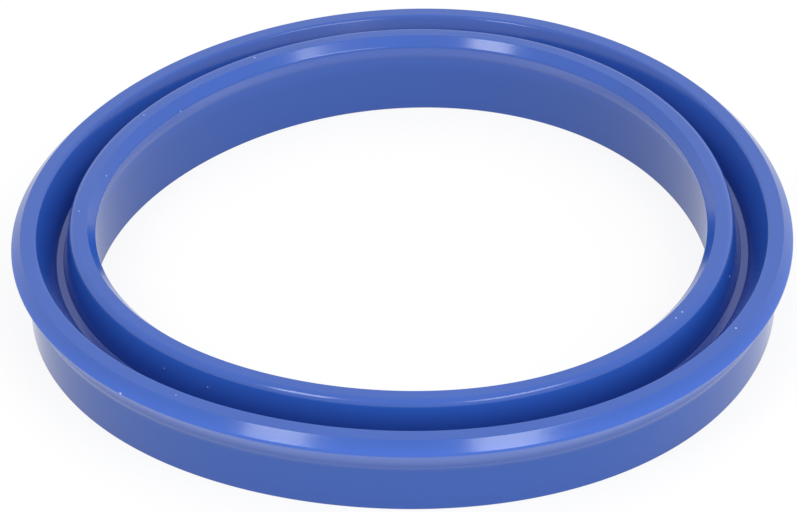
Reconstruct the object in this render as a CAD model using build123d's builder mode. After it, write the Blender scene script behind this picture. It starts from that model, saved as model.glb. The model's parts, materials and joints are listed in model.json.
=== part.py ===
from build123d import *
import os

# A U-cup seal: one moulded elastomer ring, made by turning a single section about Z.
# A solid heel stands on Z = 0, and two lips rise from it with a tapered groove between
# them. The outer lip flares out past the heel, and the inner lip, which is the taller,
# leans in past the heel's bore. Each lip has a flat land on top, a bevel beside the
# land and a rounded sealing edge under the bevel.
# Millimetres, +Z up out of the groove, origin at the centre of the base.

# Heel
HEEL_BORE_DIAMETER = 80.0  # the rod that the ring slides over
HEEL_THICKNESS = 8.0  # radial
HEEL_CORNER_ROUND = 0.2

# Outer lip
OUTER_LIP_HEIGHT = 11.0
OUTER_LIP_FLARE = 1.8  # how far the sealing edge stands out past the heel
OUTER_LAND_WIDTH = 1.9
OUTER_BEVEL_WIDTH = 1.35
OUTER_BEVEL_DEPTH = 1.4
OUTER_FLARE_START = 6.2  # height where the heel's straight wall ends
OUTER_MOUTH_ROUND = 0.5  # between land and groove wall

# Inner lip
INNER_LIP_HEIGHT = 11.7
INNER_LIP_FLARE = 1.15  # how far the sealing edge stands in past the bore
INNER_LAND_WIDTH = 2.15
INNER_BEVEL_WIDTH = 1.15
INNER_BEVEL_DEPTH = 1.25
INNER_FLARE_START = 8.2
INNER_MOUTH_ROUND = 1.0  # between land and groove wall

# Groove between the lips
GROOVE_FLOOR_HEIGHT = 6.9
GROOVE_FLOOR_WIDTH = 0.9
GROOVE_INSET = 0.25  # how far the floor's middle lies inside the heel's middle
GROOVE_FLOOR_ROUND = 0.1

# Rounded corners that both lips share
LAND_EDGE_ROUND = 0.15  # between land and bevel
SEALING_EDGE_ROUND = 0.35
FLARE_ROUND = 2.0  # between straight wall and flare

BORE_RADIUS = HEEL_BORE_DIAMETER / 2
HEEL_RADIUS = BORE_RADIUS + HEEL_THICKNESS
GROOVE_FLOOR_RADIUS = BORE_RADIUS + HEEL_THICKNESS / 2 - GROOVE_INSET


# Each function below lists one stretch of the section's corners, in order from the
# bore's foot up, over and down to the heel's foot, as (radius, height, rounding).


def inner_lip_corners():
    """The bore's wall, the flare, the sealing edge, the bevel and the land."""
    sealing_edge = BORE_RADIUS - INNER_LIP_FLARE
    land_start = sealing_edge + INNER_BEVEL_WIDTH
    land_end = land_start + INNER_LAND_WIDTH
    return [
        (BORE_RADIUS, 0, HEEL_CORNER_ROUND),
        (BORE_RADIUS, INNER_FLARE_START, FLARE_ROUND),
        (sealing_edge, INNER_LIP_HEIGHT - INNER_BEVEL_DEPTH, SEALING_EDGE_ROUND),
        (land_start, INNER_LIP_HEIGHT, LAND_EDGE_ROUND),
        (land_end, INNER_LIP_HEIGHT, INNER_MOUTH_ROUND),
    ]


def groove_corners():
    """The two edges of the narrow flat floor."""
    half_floor = GROOVE_FLOOR_WIDTH / 2
    return [
        (GROOVE_FLOOR_RADIUS - half_floor, GROOVE_FLOOR_HEIGHT, GROOVE_FLOOR_ROUND),
        (GROOVE_FLOOR_RADIUS + half_floor, GROOVE_FLOOR_HEIGHT, GROOVE_FLOOR_ROUND),
    ]


def outer_lip_corners():
    """The land, the bevel, the sealing edge, the flare and the heel's wall."""
    sealing_edge = HEEL_RADIUS + OUTER_LIP_FLARE
    land_end = sealing_edge - OUTER_BEVEL_WIDTH
    land_start = land_end - OUTER_LAND_WIDTH
    return [
        (land_start, OUTER_LIP_HEIGHT, OUTER_MOUTH_ROUND),
        (land_end, OUTER_LIP_HEIGHT, LAND_EDGE_ROUND),
        (sealing_edge, OUTER_LIP_HEIGHT - OUTER_BEVEL_DEPTH, SEALING_EDGE_ROUND),
        (HEEL_RADIUS, OUTER_FLARE_START, FLARE_ROUND),
        (HEEL_RADIUS, 0, HEEL_CORNER_ROUND),
    ]


def build_seal():
    """The whole ring, turned from its section."""
    corners = inner_lip_corners() + groove_corners() + outer_lip_corners()
    points = [(radius, height) for radius, height, rounding in corners]
    roundings = [rounding for radius, height, rounding in corners]
    with BuildPart() as seal:
        with BuildSketch(Plane.XZ):
            with BuildLine():
                FilletPolyline(*points, radius=roundings, close=True)
            make_face()
        revolve(axis=Axis.Z)
    return seal


u_cup_seal = build_seal()
u_cup_seal.part.label = "u_cup_seal"

os.makedirs("parts", exist_ok=True)
export_step(u_cup_seal.part, "parts/u_cup_seal.step")
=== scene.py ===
import json
from math import ceil, cos, pi, radians, sin, tan

import bpy
from bpy.props import FloatProperty, FloatVectorProperty, IntProperty, PointerProperty
from bpy.types import Operator, Panel, PropertyGroup
from mathutils import Matrix, Vector


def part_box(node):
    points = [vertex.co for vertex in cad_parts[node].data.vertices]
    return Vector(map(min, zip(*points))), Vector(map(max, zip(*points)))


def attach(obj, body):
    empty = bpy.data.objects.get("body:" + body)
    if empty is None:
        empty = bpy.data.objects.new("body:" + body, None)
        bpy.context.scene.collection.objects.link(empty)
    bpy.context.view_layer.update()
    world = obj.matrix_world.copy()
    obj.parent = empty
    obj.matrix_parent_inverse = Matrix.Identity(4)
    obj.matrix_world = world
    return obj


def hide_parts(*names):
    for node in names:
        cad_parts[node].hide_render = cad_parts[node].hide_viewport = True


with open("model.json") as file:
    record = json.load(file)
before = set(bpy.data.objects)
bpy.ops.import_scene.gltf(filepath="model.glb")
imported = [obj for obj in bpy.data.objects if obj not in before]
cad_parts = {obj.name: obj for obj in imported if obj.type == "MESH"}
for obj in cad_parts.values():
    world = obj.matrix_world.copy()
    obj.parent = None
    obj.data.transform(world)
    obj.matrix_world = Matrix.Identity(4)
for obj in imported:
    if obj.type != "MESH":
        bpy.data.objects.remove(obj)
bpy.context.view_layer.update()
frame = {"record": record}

bl_info = {
    "name": "U-Cup Seal Finish",
    "version": (1, 0, 0),
    "blender": (4, 5, 0),
    "location": "3D View > Sidebar > U-Cup Seal",
    "description": "Dresses a packed U-cup seal with its moulded ring, flecks and studio",
    "category": "Object",
}

# ---------------------------------------------------------------- the frame

SEAL_NODE = "u_cup_seal"
SEAL_BODY = "root"
SHADE_HIGHLIGHT_SHARES = "shade_highlight_shares"
MM = 0.001

MOUNTS = {mount["name"]: mount for mount in frame["record"]["mounts"]}
BORE_RADIUS = MOUNTS["bore"]["dims"]["r_mm"] * MM
HEEL_RADIUS = MOUNTS["heel_wall"]["dims"]["r_mm"] * MM
RING_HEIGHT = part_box(SEAL_NODE)[1].z


# ---------------------------------------------------------------- fixed values

# Heights between which the painted light on the skin fades, each from none to full: the painted
# shade on the walls from the flares down, and the painted highlight on the lips' edges from below
# and from above
WALL_SHADE_FADE = (9.0 * MM, 6.0 * MM)
EDGE_HIGHLIGHT_START = (8.2 * MM, 9.2 * MM)
EDGE_HIGHLIGHT_END = (10.5 * MM, 9.9 * MM)

# The outline's facets: how many round each corner, how close to a corner a straight
# run's own points start, and how far apart they lie at most
CORNER_FACETS = 7
CORNER_GUARD = 0.06 * MM
LONGEST_FACET = 0.6 * MM

# The moulded skin's fine detail
REFRACTION = 1.58
MOTTLE_SCALE = 90.0
MOTTLE_DETAIL = 3.0
MOTTLE_CONTRAST = 0.06
MOTTLE_ROUGHNESS = 0.10
GRAIN_SCALE = 2600.0
GRAIN_DETAIL = 2.0
GRAIN_ROUGHNESS = 0.06
GRAIN_STRENGTH = 0.07
GRAIN_DEPTH = 0.05 * MM

# A fleck's edge: how ragged it is, and the shares of its size between which it fades
FLECK_RAGGEDNESS = 0.5
FLECK_FADE = (1.0, 0.6)

# The tent's soft panels: where each one's middle is and how far it reaches, in degrees.
# Azimuth 0 is the front, and positive is to the right.
FRONT_PANEL = {"azimuth": 25, "elevation": 5, "reach": 50}
REAR_PANEL = {"azimuth": 175, "elevation": 42, "reach": 45}
OPENING = {"azimuth": -125, "elevation": 5, "reach": 55}

# The two soft lamps: directions in degrees, sizes in millimetres, and brightness
LEFT_LAMP = {"azimuth": -42, "elevation": 50, "lean": 12, "width": 115, "span": 170, "level": 6.4}
RIGHT_LAMP = {"azimuth": 33, "elevation": 48, "lean": -65, "width": 105, "span": 300, "level": 5.2}

WHITE = (1.0, 1.0, 1.0, 1.0)

# How far the floor reaches each way from the middle, in metres
FLOOR_REACH = 2.0

# The width of the camera's sensor in millimetres, and the point that the lens faces
CAMERA_SENSOR = 36.0
CAMERA_AIM = (-1.04 * MM, -2.34 * MM, 5.06 * MM)


# ---------------------------------------------------------------- settings


def length(name, description, millimetres):
    """A property that holds a size in metres and is written here in millimetres."""
    return FloatProperty(
        name=name, description=description, default=millimetres * MM, unit="LENGTH"
    )


def share(name, description, default, top=1.0):
    """A property that holds a plain factor."""
    return FloatProperty(
        name=name, description=description, default=default, min=0.0, max=top
    )


def colour(name, description, default):
    """A property that holds a colour as red, green and blue."""
    return FloatVectorProperty(
        name=name, description=description, default=default, size=3, subtype="COLOR"
    )


def bearing(name, description, degrees):
    """A property that holds a direction round the ring, seen from above."""
    return FloatProperty(
        name=name, description=description, default=radians(degrees), subtype="ANGLE"
    )


class SectionSettings(PropertyGroup):
    """The ring's section, between the heel's walls and the ring's full height."""

    outer_height: length("Outer Lip Height", "Base to the outer lip's land", 11.0)
    outer_flare: length("Outer Lip Flare", "How far the outer edge passes the heel", 1.8)
    outer_land: length("Outer Land", "Width of the outer lip's flat top", 1.9)
    outer_bevel_width: length("Outer Bevel Width", "Bevel across the ring", 1.35)
    outer_bevel_depth: length("Outer Bevel Depth", "Bevel along the axis", 1.4)
    outer_flare_start: length("Outer Flare Start", "Top of the heel's straight wall", 6.2)
    inner_flare: length("Inner Lip Flare", "How far the inner edge passes the bore", 1.15)
    inner_land: length("Inner Land", "Width of the inner lip's flat top", 2.15)
    inner_bevel_width: length("Inner Bevel Width", "Bevel across the ring", 1.15)
    inner_bevel_depth: length("Inner Bevel Depth", "Bevel along the axis", 1.25)
    inner_flare_start: length("Inner Flare Start", "Top of the bore's straight wall", 8.2)
    floor_height: length("Groove Floor Height", "Base to the groove's floor", 6.9)
    floor_width: length("Groove Floor Width", "Width of the flat floor", 0.9)
    floor_inset: length("Groove Inset", "Floor's middle from the heel's middle", 0.25)
    heel_round: length("Heel Corner", "Rounding of the heel's foot", 0.2)
    flare_round: length("Flare Blend", "Rounding where a straight wall flares", 2.0)
    edge_round: length("Sealing Edge", "Rounding of each lip's sealing edge", 0.35)
    land_round: length("Land Edge", "Rounding between land and bevel", 0.15)
    outer_mouth: length("Outer Mouth", "Rounding from outer land to groove", 0.5)
    inner_mouth: length("Inner Mouth", "Rounding from inner land to groove", 1.0)
    floor_round: length("Groove Corner", "Rounding beside the groove's floor", 0.1)


class ShapeSettings(PropertyGroup):
    """How far the soft ring has relaxed from a true circle. Direction 0 is the front."""

    lobes_swing: length("Lobes", "Swing of the ring's three lobes", 0.8)
    lobes_way: bearing("Lobes Direction", "Where one lobe stands out", 45)
    oval_swing: length("Oval", "Swing of the whole ring's oval", 0.12)
    oval_way: bearing("Oval Direction", "Where the oval stands out", -30)
    square_swing: length("Square", "Swing of the whole ring's four corners", 0.1)
    square_way: bearing("Square Direction", "Where one corner stands out", 35)
    outer_spread: length("Outer Lip Spread", "How far the outer lip has opened", 0.2)
    outer_oval_swing: length("Outer Lip Oval", "Swing of the outer lip's oval", 0.2)
    inner_spread: length("Inner Lip Spread", "How far the inner lip has opened", 0.2)
    inner_oval_swing: length("Inner Lip Oval", "Swing of the inner lip's oval", 0.3)
    lip_oval_way: bearing("Lip Oval Direction", "Where both lips' ovals stand out", 40)
    inner_lobes_swing: length("Inner Lip Lobes", "Swing of the inner lip's three lobes", 0.15)
    inner_lobes_way: bearing("Inner Lobes Direction", "Where one of them stands out", -5)
    inner_lean: length("Inner Lip Lean", "How far the inner lip leans to one side", 0.3)
    inner_lean_way: bearing("Inner Lip Lean Direction", "The side it leans to", -160)
    steps: IntProperty(
        name="Steps", description="Facets around the ring", default=512, min=24
    )


class FinishSettings(PropertyGroup):
    """The colour and gloss of the polyurethane, the shade and highlights painted on it, and the
    flecks on it.
    """

    body_colour: colour("Body", "Moulded polyurethane", (0.018, 0.08, 0.385))
    # Painted shade: the groove is painted darker towards its floor, for the shade that falls in it
    groove_shade_tint: colour("Groove Shade", "How the groove deepens the colour", (0.85, 0.6, 0.74))
    # Painted shade: the heel's outer wall and the bore are painted darker from the flares down
    wall_shade_tint: colour("Wall Shade", "How the heel's walls dull the colour", (0.5, 0.8, 0.82))
    # Painted highlight: the lips' sealing edges and flares are painted paler, for the bright line
    # and light they catch
    edge_highlight_level: share("Edge Highlight", "How much paler the thin lips' edges are", 1.15, 2.0)
    body_roughness: share("Roughness", "Gloss of the moulded skin", 0.15)
    fleck_colour: colour("Flecks", "Dust and trimming flecks", (0.3, 0.42, 0.75))
    fleck_roughness: share("Fleck Roughness", "Gloss of the flecks", 0.6)


class StudioSettings(PropertyGroup):
    """The floor, the surround, the lamps and the camera."""

    floor_colour: colour("Floor", "Sweep under the seal", (0.88, 0.88, 0.88))
    floor_glow: share("Floor Glow", "How far the floor's shadow is lightened", 0.85)
    tent_level: share("Tent", "Brightness of the white tent", 1.0, 4.0)
    front_level: share("Front Panel", "What the low front panel adds", 1.2, 4.0)
    rear_level: share("Rear Panel", "What the wall behind adds", 0.35, 4.0)
    opening_loss: share("Opening", "What the tent's opening takes away", 0.7)
    lamp_level: share("Lamps", "Brightness of the soft lamps", 1.0, 4.0)
    lamp_reach: length("Lamp Distance", "From the seal to each soft lamp", 550.0)
    camera_distance: length("Camera Distance", "From the seal to the lens", 439.4)
    camera_elevation: FloatProperty(
        name="Camera Elevation",
        description="Height of the lens as an angle above the floor",
        default=radians(35.5),
        subtype="ANGLE",
    )
    camera_roll: FloatProperty(
        name="Camera Roll",
        description="Lean of the camera about its own axis",
        default=radians(-1.57),
        subtype="ANGLE",
    )
    camera_lens: FloatProperty(
        name="Lens", description="Focal length in millimetres", default=152.9
    )


# ---------------------------------------------------------------- shader maths


class Socket:
    """A shader value that adds its Math nodes as it is used in an expression."""

    def __init__(self, nodes, output):
        self.nodes = nodes
        self.output = output

    def maths(self, operation, left, right):
        """The Math node that works out one operation on two values."""
        return self.nodes.add("ShaderNodeMath", {"operation": operation}, {0: left, 1: right})

    def __add__(self, other):
        return self.maths("ADD", self, other)

    def __radd__(self, other):
        return self.maths("ADD", other, self)

    def __sub__(self, other):
        return self.maths("SUBTRACT", self, other)

    def __rsub__(self, other):
        return self.maths("SUBTRACT", other, self)

    def __mul__(self, other):
        return self.maths("MULTIPLY", self, other)

    def __rmul__(self, other):
        return self.maths("MULTIPLY", other, self)

    def __truediv__(self, other):
        return self.maths("DIVIDE", self, other)

    def __rtruediv__(self, other):
        return self.maths("DIVIDE", other, self)


class Nodes:
    """A material's or world's node tree, built node by node."""

    def __init__(self, owner):
        owner.use_nodes = True
        self.tree = owner.node_tree
        self.tree.nodes.clear()

    def node(self, kind, settings=None, inputs=None):
        """A new node, with its settings set and its inputs linked or filled."""
        node = self.tree.nodes.new(kind)
        for name, value in (settings or {}).items():
            setattr(node, name, value)
        for name, value in (inputs or {}).items():
            if isinstance(value, Socket):
                self.tree.links.new(value.output, node.inputs[name])
            else:
                node.inputs[name].default_value = value
        return node

    def add(self, kind, settings=None, inputs=None, output=0):
        """One output of a new node, ready to be used in an expression."""
        return Socket(self, self.node(kind, settings, inputs).outputs[output])

    def mix(self, factor, low, high):
        """A colour between low and high."""
        node = self.node("ShaderNodeMix", {"data_type": "RGBA"}, {0: factor})
        for index, value in ((6, low), (7, high)):
            if isinstance(value, Socket):
                self.tree.links.new(value.output, node.inputs[index])
            else:
                node.inputs[index].default_value = (*value, 1.0)
        return Socket(self, node.outputs[2])

    def towards(self, way, target):
        """How far a direction points towards a target, 1 being straight at it."""
        return self.add(
            "ShaderNodeVectorMath",
            {"operation": "DOT_PRODUCT"},
            {0: way, 1: tuple(target)},
            output="Value",
        )

    def ramp(self, value, source, target):
        """A value carried evenly from one range to another, and held at its ends."""
        return self.add(
            "ShaderNodeMapRange",
            inputs={
                "Value": value,
                "From Min": source[0],
                "From Max": source[1],
                "To Min": target[0],
                "To Max": target[1],
            },
        )

    def background_rays(self):
        """1 for the rays that look at the background: from the camera, metal or glass."""
        rays = 0.0
        for kind in ("Is Camera Ray", "Is Glossy Ray", "Is Transmission Ray"):
            rays = rays + self.add("ShaderNodeLightPath", output=kind)
        return self.ramp(rays, (0.0, 1.0), (0.0, 1.0))

    def finish(self, shader, target="ShaderNodeOutputMaterial"):
        """Leads a shader to the tree's output."""
        self.node(target, inputs={"Surface": shader})


# ---------------------------------------------------------------- materials


# The pale flecks on the skin: the face, the bearing round the ring in degrees, and the
# size in millimetres
FLECKS = (
    ("outer edge", -44, 0.25),
    ("outer land", -36, 0.1),
    ("outer land", 55, 0.16),
    ("groove wall", 70, 0.18),
    ("groove wall", -35, 0.1),
    ("groove wall", -44, 0.1),
    ("inner land", 53, 0.16),
    ("inner land", 51, 0.14),
    ("inner land", -90, 0.12),
    ("inner land", -123, 0.14),
    ("inner land", -151, 0.15),
    ("inner bevel", -103, 0.12),
    ("inner edge", -130, 0.15),
)


def tinted(plain, tint):
    """A colour with each part multiplied by the tint's."""
    return tuple(part * kept for part, kept in zip(plain, tint))


def fleck_faces(section):
    """The radius and height of the middle of each face that carries flecks."""
    inner_edge, inner_land, outer_edge, outer_land = lip_radii(section)
    floor_start, _ = floor_radii(section)
    bevel_radius = (inner_edge + inner_land) / 2
    wall_radius = (inner_land + section.inner_land + floor_start) / 2
    wall_height = (RING_HEIGHT + section.floor_height) / 2
    return {
        "inner edge": (inner_edge, RING_HEIGHT - section.inner_bevel_depth),
        "inner bevel": (bevel_radius, RING_HEIGHT - section.inner_bevel_depth / 2),
        "inner land": (inner_land + section.inner_land / 2, RING_HEIGHT),
        "groove wall": (wall_radius, wall_height),
        "outer land": (outer_land - section.outer_land / 2, section.outer_height),
        "outer edge": (outer_edge, section.outer_height - section.outer_bevel_depth),
    }


def dusted(nodes, place, ragged, section, shape):
    """How far the skin is covered by its flecks, each with a ragged edge."""
    faces = fleck_faces(section)
    cover = 0.0
    for face, degrees, size in FLECKS:
        middle = relaxed(*faces[face], radians(degrees), section, shape)
        away = nodes.add(
            "ShaderNodeVectorMath",
            {"operation": "DISTANCE"},
            {0: place, 1: tuple(middle)},
            output="Value",
        )
        edge = away / (size * MM) + FLECK_RAGGEDNESS * (ragged - 0.5)
        cover = cover + nodes.ramp(edge, FLECK_FADE, (0.0, 1.0))
    return cover


def polyurethane(finish, section, shape):
    """Moulded blue polyurethane: a glossy skin with faint mottle, fine grain and flecks, with
    painted shade in the groove and on the lower walls and a painted highlight on the lips' edges.
    """
    material = bpy.data.materials.new("polyurethane")
    nodes = Nodes(material)
    place = nodes.add("ShaderNodeTexCoord", output="Object")
    mottle = nodes.add(
        "ShaderNodeTexNoise",
        inputs={"Vector": place, "Scale": MOTTLE_SCALE, "Detail": MOTTLE_DETAIL},
    )
    grain = nodes.add(
        "ShaderNodeTexNoise",
        inputs={"Vector": place, "Scale": GRAIN_SCALE, "Detail": GRAIN_DETAIL},
    )
    body = Vector(finish.body_colour)
    darker = tuple(body * (1.0 - MOTTLE_CONTRAST))
    paler = tuple(body * (1.0 + MOTTLE_CONTRAST))
    moulded = nodes.mix(mottle, darker, paler)
    # The shares of painted shade in the groove, painted shade on the walls and painted highlight
    # on the lips' edges
    shares = nodes.add(
        "ShaderNodeAttribute", {"attribute_name": SHADE_HIGHLIGHT_SHARES}, output="Vector"
    )
    groove, wall, edge_highlight = (
        nodes.add("ShaderNodeSeparateXYZ", inputs={0: shares}, output=axis) for axis in "XYZ"
    )
    # Painted highlight on the lips' sealing edges and flares
    lips = nodes.mix(edge_highlight, moulded, tuple(body * finish.edge_highlight_level))
    # Painted shade on the heel's outer wall and the bore
    walls = nodes.mix(wall, lips, tinted(body, finish.wall_shade_tint))
    # Painted shade in the groove, darker towards its floor
    clean = nodes.mix(groove, walls, tinted(body, finish.groove_shade_tint))
    dust = dusted(nodes, place, grain, section, shape)
    tint = nodes.mix(dust, clean, tuple(finish.fleck_colour))
    roughness = finish.body_roughness + MOTTLE_ROUGHNESS * (mottle - 0.5)
    roughness = roughness + GRAIN_ROUGHNESS * (grain - 0.5)
    roughness = roughness + dust * (finish.fleck_roughness - finish.body_roughness)
    relief = nodes.add(
        "ShaderNodeBump",
        inputs={"Strength": GRAIN_STRENGTH, "Distance": GRAIN_DEPTH, "Height": grain},
    )
    shader = nodes.add(
        "ShaderNodeBsdfPrincipled",
        inputs={
            "Base Color": tint,
            "Roughness": roughness,
            "Normal": relief,
            "IOR": REFRACTION,
        },
    )
    nodes.finish(shader)
    return material


def sweep_paint(studio):
    """Floor that bounces a soft white light and shows white with the seal's shadow."""
    material = bpy.data.materials.new("sweep")
    nodes = Nodes(material)
    seen = nodes.background_rays()
    paint = nodes.add("ShaderNodeBsdfDiffuse", inputs={"Color": (*studio.floor_colour, 1.0)})
    white = nodes.add("ShaderNodeEmission", inputs={"Color": WHITE})
    share_white = seen * studio.floor_glow
    nodes.finish(nodes.add("ShaderNodeMixShader", inputs={0: share_white, 1: paint, 2: white}))
    return material


# ---------------------------------------------------------------- the ring's mesh


def lip_radii(section):
    """The radius of the inner lip's sealing edge and of its land's edge beside the
    bevel, and then the same two for the outer lip."""
    inner_edge = BORE_RADIUS - section.inner_flare
    inner_land = inner_edge + section.inner_bevel_width
    outer_edge = HEEL_RADIUS + section.outer_flare
    outer_land = outer_edge - section.outer_bevel_width
    return inner_edge, inner_land, outer_edge, outer_land


def floor_radii(section):
    """The radii of the two edges of the groove's floor."""
    floor_middle = (BORE_RADIUS + HEEL_RADIUS) / 2 - section.floor_inset
    half_floor = section.floor_width / 2
    return floor_middle - half_floor, floor_middle + half_floor


def section_corners(section):
    """The section's corners as (radius, height, rounding), from the bore's foot
    up the inner lip, across the groove and down the outer lip to the heel's foot."""
    inner_edge, inner_land, outer_edge, outer_land = lip_radii(section)
    floor_start, floor_end = floor_radii(section)
    outer_top = section.outer_height
    return [
        (BORE_RADIUS, 0.0, section.heel_round),
        (BORE_RADIUS, section.inner_flare_start, section.flare_round),
        (inner_edge, RING_HEIGHT - section.inner_bevel_depth, section.edge_round),
        (inner_land, RING_HEIGHT, section.land_round),
        (inner_land + section.inner_land, RING_HEIGHT, section.inner_mouth),
        (floor_start, section.floor_height, section.floor_round),
        (floor_end, section.floor_height, section.floor_round),
        (outer_land - section.outer_land, outer_top, section.outer_mouth),
        (outer_land, outer_top, section.land_round),
        (outer_edge, outer_top - section.outer_bevel_depth, section.edge_round),
        (HEEL_RADIUS, section.outer_flare_start, section.flare_round),
        (HEEL_RADIUS, 0.0, section.heel_round),
    ]


def rounded_corner(before, corner, after, rounding):
    """Points of the arc that rounds a corner, from the run before to the run after."""
    back = (before - corner).normalized()
    ahead = (after - corner).normalized()
    half_opening = back.angle(ahead) / 2
    reach = rounding / tan(half_opening)
    centre = corner + (back + ahead).normalized() * (rounding / sin(half_opening))
    start = corner + back * reach - centre
    sweep = start.angle_signed(corner + ahead * reach - centre)
    steps = range(CORNER_FACETS + 1)
    turns = [Matrix.Rotation(-sweep * step / CORNER_FACETS, 2) for step in steps]
    return [centre + turn @ start for turn in turns]


def straight_run(start, end):
    """Points strictly between two arcs: one close to each end, and even ones between.
    A run too short for the guards at both its ends gets none."""
    run = end - start
    if run.length < 3 * CORNER_GUARD:
        return []
    inner_start = start + run.normalized() * CORNER_GUARD
    inner_end = end - run.normalized() * CORNER_GUARD
    pieces = max(1, ceil((inner_end - inner_start).length / LONGEST_FACET))
    return [inner_start.lerp(inner_end, step / pieces) for step in range(pieces + 1)]


def section_outline(section):
    """The closed outline of the section, with round corners and even facets."""
    corners = section_corners(section)
    points = [Vector((radius, height)) for radius, height, rounding in corners]
    arcs = []
    for index, (_, _, rounding) in enumerate(corners):
        before = points[index - 1]
        after = points[(index + 1) % len(points)]
        arcs.append(rounded_corner(before, points[index], after, rounding))
    outline = []
    for index, arc in enumerate(arcs):
        following = arcs[(index + 1) % len(arcs)]
        outline += arc
        outline += straight_run(arc[-1], following[0])
    return outline


def faded(value, start, end):
    """A share from 0 at the start to 1 at the end, held beyond them."""
    return min(1.0, max(0.0, (value - start) / (end - start)))


def swing(angle, lobes, amount, way):
    """How far a ring of so many lobes stands out at an angle."""
    return amount * cos(lobes * (angle - way))


def relaxed(radius, height, angle, section, shape):
    """A point of the ring, moved as the soft ring has relaxed. Angle 0 is the front."""
    outer_share = faded(radius, *floor_radii(section))
    ring = swing(angle, 3, shape.lobes_swing, shape.lobes_way)
    ring += swing(angle, 2, shape.oval_swing, shape.oval_way)
    ring += swing(angle, 4, shape.square_swing, shape.square_way)
    outer_lip = shape.outer_spread
    outer_lip += swing(angle, 2, shape.outer_oval_swing, shape.lip_oval_way)
    inner_lip = shape.inner_spread
    inner_lip += swing(angle, 2, shape.inner_oval_swing, shape.lip_oval_way)
    inner_lip += swing(angle, 3, shape.inner_lobes_swing, shape.inner_lobes_way)
    inner_lip += swing(angle, 1, shape.inner_lean, shape.inner_lean_way)
    lip = inner_lip + outer_share * (outer_lip - inner_lip)
    reach = radius + ring + lip * height / RING_HEIGHT
    return Vector((reach * sin(angle), -reach * cos(angle), height))


def shade_highlight_shares(point, section):
    """How far a point of the section carries painted shade in the groove, painted shade on a wall
    and a painted highlight on a lip's edge.
    """
    radius, height = point.x, point.y
    _, inner_land, _, outer_land = lip_radii(section)
    mouth_start = inner_land + section.inner_land - section.inner_mouth
    mouth_end = outer_land - section.outer_land + section.outer_mouth
    # Painted shade deepens towards the groove's floor; outside the groove come the painted shade
    # on the walls and the painted highlight on the lips' edges
    if mouth_start < radius < mouth_end:
        return (faded(height, section.outer_height, section.floor_height), 0.0, 0.0)
    wall = faded(height, *WALL_SHADE_FADE)
    edge = faded(height, *EDGE_HIGHLIGHT_START) * faded(height, *EDGE_HIGHLIGHT_END)
    return (0.0, wall, edge)


def ring_mesh(outline, section, shape):
    """The relaxed outline carried once round Z into a closed ring, which also holds how
    far each of its points carries painted shade in the groove, painted shade on a wall and a
    painted highlight on a lip's edge."""
    vertices = []
    for step in range(shape.steps):
        angle = 2 * pi * step / shape.steps
        vertices += [relaxed(point.x, point.y, angle, section, shape) for point in outline]
    count = len(outline)
    faces = []
    for step in range(shape.steps):
        here = step * count
        there = ((step + 1) % shape.steps) * count
        for index in range(count):
            after = (index + 1) % count
            faces.append((here + index, here + after, there + after, there + index))
    mesh = bpy.data.meshes.new("seal_ring")
    mesh.from_pydata(vertices, [], faces)
    mesh.polygons.foreach_set("use_smooth", [True] * len(faces))
    shares = mesh.attributes.new(SHADE_HIGHLIGHT_SHARES, "FLOAT_VECTOR", "POINT")
    around = [part for point in outline for part in shade_highlight_shares(point, section)]
    shares.data.foreach_set("vector", around * shape.steps)
    mesh.update()
    return mesh


# ---------------------------------------------------------------- operators


def place_piece(name, mesh, material):
    """Links a mesh as a piece of the seal, with one material."""
    piece = bpy.data.objects.new(name, mesh)
    bpy.context.scene.collection.objects.link(piece)
    mesh.materials.append(material)
    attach(piece, SEAL_BODY)
    return piece


class SEAL_OT_ring(Operator):
    """Mould the ring with its heel, lips and groove"""

    bl_idname = "seal.ring"
    bl_label = "Mould Ring"

    def execute(self, context):
        scene = context.scene
        section = scene.seal_section
        shape = scene.seal_shape
        mesh = ring_mesh(section_outline(section), section, shape)
        skin = polyurethane(scene.seal_finish, section, shape)
        ring = place_piece("seal_ring", mesh, skin)
        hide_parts(SEAL_NODE)
        return {"FINISHED"}


class SEAL_OT_stage(Operator):
    """Set the floor, the lamps and the camera"""

    bl_idname = "seal.stage"
    bl_label = "Set Stage"

    def execute(self, context):
        studio = context.scene.seal_studio
        lay_floor(studio)
        light_sky(studio)
        hang_lamp(studio, **LEFT_LAMP)
        hang_lamp(studio, **RIGHT_LAMP)
        set_camera(studio)
        return {"FINISHED"}


def lay_floor(studio):
    """A square white floor under the seal, much wider than the picture."""
    signs = ((-1, -1), (1, -1), (1, 1), (-1, 1))
    corners = [(x * FLOOR_REACH, y * FLOOR_REACH, 0) for x, y in signs]
    mesh = bpy.data.meshes.new("floor")
    mesh.from_pydata(corners, [], [(0, 1, 2, 3)])
    mesh.materials.append(sweep_paint(studio))
    floor = bpy.data.objects.new("floor", mesh)
    bpy.context.scene.collection.objects.link(floor)


def panel(nodes, way, level, azimuth, elevation, reach):
    """A soft round panel of the tent, fading evenly from its middle to its reach."""
    closeness = nodes.towards(way, direction(radians(azimuth), radians(elevation)))
    return nodes.ramp(closeness, (cos(radians(reach)), 1.0), (0.0, level))


def light_sky(studio):
    """A white tent, with a low bright front, a bright wall behind and an opening at the
    left rear. The background and its reflections are plain white instead."""
    world = bpy.data.worlds.new("studio_sky")
    bpy.context.scene.world = world
    nodes = Nodes(world)
    way = nodes.add("ShaderNodeTexCoord", output="Generated")
    front = panel(nodes, way, studio.front_level, **FRONT_PANEL)
    rear = panel(nodes, way, studio.rear_level, **REAR_PANEL)
    opening = panel(nodes, way, studio.opening_loss, **OPENING)
    level = studio.tent_level + front + rear - opening
    seen = nodes.background_rays()
    shader = nodes.add(
        "ShaderNodeBackground",
        inputs={"Color": WHITE, "Strength": level + seen * (1.0 - level)},
    )
    nodes.finish(shader, "ShaderNodeOutputWorld")


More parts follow.
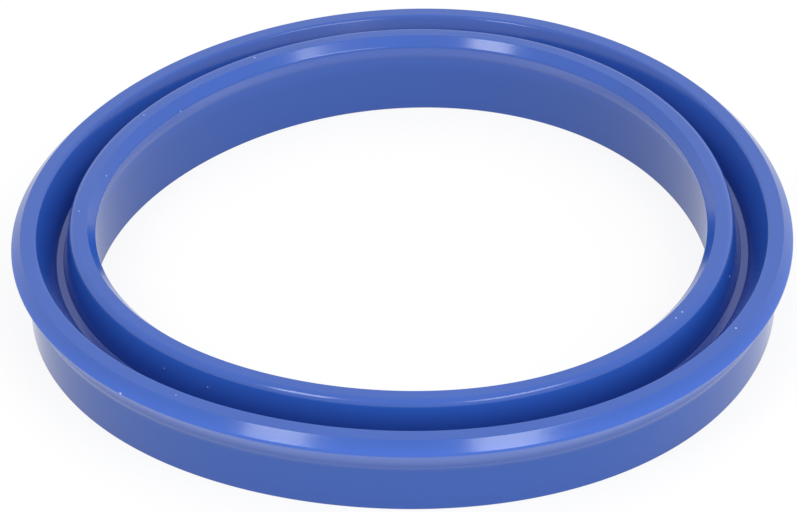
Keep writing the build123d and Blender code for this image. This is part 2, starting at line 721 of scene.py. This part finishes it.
def look_at(camera, place, target, roll):
    """Puts the camera at a place, facing a target and turned about its own axis."""
    facing = (Vector(target) - place).to_track_quat("-Z", "Y").to_matrix().to_4x4()
    camera.matrix_world = Matrix.Translation(place) @ facing @ Matrix.Rotation(roll, 4, "Z")


def direction(azimuth, elevation):
    """A unit vector; azimuth 0 is the front and positive is to the right."""
    return Vector((sin(azimuth) * cos(elevation), -cos(azimuth) * cos(elevation), sin(elevation)))


def hang_lamp(studio, azimuth, elevation, lean, width, span, level):
    """A soft lamp that faces the seal from a direction, leaning about that direction.
    Directions are in degrees and sizes in millimetres."""
    data = bpy.data.lights.new("soft_lamp", "AREA")
    data.shape = "RECTANGLE"
    data.size = width * MM
    data.size_y = span * MM
    data.energy = studio.lamp_level * level * pi * data.size * data.size_y
    lamp = bpy.data.objects.new("soft_lamp", data)
    bpy.context.scene.collection.objects.link(lamp)
    back = direction(radians(azimuth), radians(elevation))
    side = Vector((0.0, 0.0, 1.0)).cross(back).normalized()
    turn = Matrix.Rotation(radians(lean), 4, "Z")
    upright = Matrix((side, back.cross(side), back)).transposed().to_4x4()
    lamp.matrix_world = Matrix.Translation(back * studio.lamp_reach) @ upright @ turn


def set_camera(studio):
    """A long lens in front of the seal, looking down at it."""
    data = bpy.data.cameras.new("camera")
    data.lens = studio.camera_lens
    data.sensor_width = CAMERA_SENSOR
    camera = bpy.data.objects.new("camera", data)
    bpy.context.scene.collection.objects.link(camera)
    place = direction(0, studio.camera_elevation) * studio.camera_distance
    look_at(camera, place, CAMERA_AIM, studio.camera_roll)
    bpy.context.scene.camera = camera
    bpy.context.scene.view_settings.view_transform = "Standard"


class SEAL_PT_panel(Panel):
    """Lists the seal's operators and settings"""

    bl_idname = "SEAL_PT_panel"
    bl_label = "U-Cup Seal"
    bl_space_type = "VIEW_3D"
    bl_region_type = "UI"
    bl_category = "U-Cup Seal"

    def draw(self, context):
        for step in STEPS:
            self.layout.operator(step.bl_idname)
        for group in SETTINGS:
            settings = getattr(context.scene, group)
            for name in settings.__annotations__:
                self.layout.prop(settings, name)


# ---------------------------------------------------------------- registration

STEPS = (SEAL_OT_ring, SEAL_OT_stage)
SETTINGS = {
    "seal_section": SectionSettings,
    "seal_shape": ShapeSettings,
    "seal_finish": FinishSettings,
    "seal_studio": StudioSettings,
}


def register():
    """Adds the settings, the operators and the panel to Blender."""
    for group, settings in SETTINGS.items():
        bpy.utils.register_class(settings)
        setattr(bpy.types.Scene, group, PointerProperty(type=settings))
    for kind in (*STEPS, SEAL_PT_panel):
        bpy.utils.register_class(kind)


def unregister():
    """Takes them away again, in the opposite order."""
    for kind in (SEAL_PT_panel, *STEPS):
        bpy.utils.unregister_class(kind)
    for group, settings in SETTINGS.items():
        delattr(bpy.types.Scene, group)
        bpy.utils.unregister_class(settings)


def main():
    """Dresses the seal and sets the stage."""
    register()
    bpy.ops.seal.ring()
    bpy.ops.seal.stage()


if __name__ == "__main__":
    main()
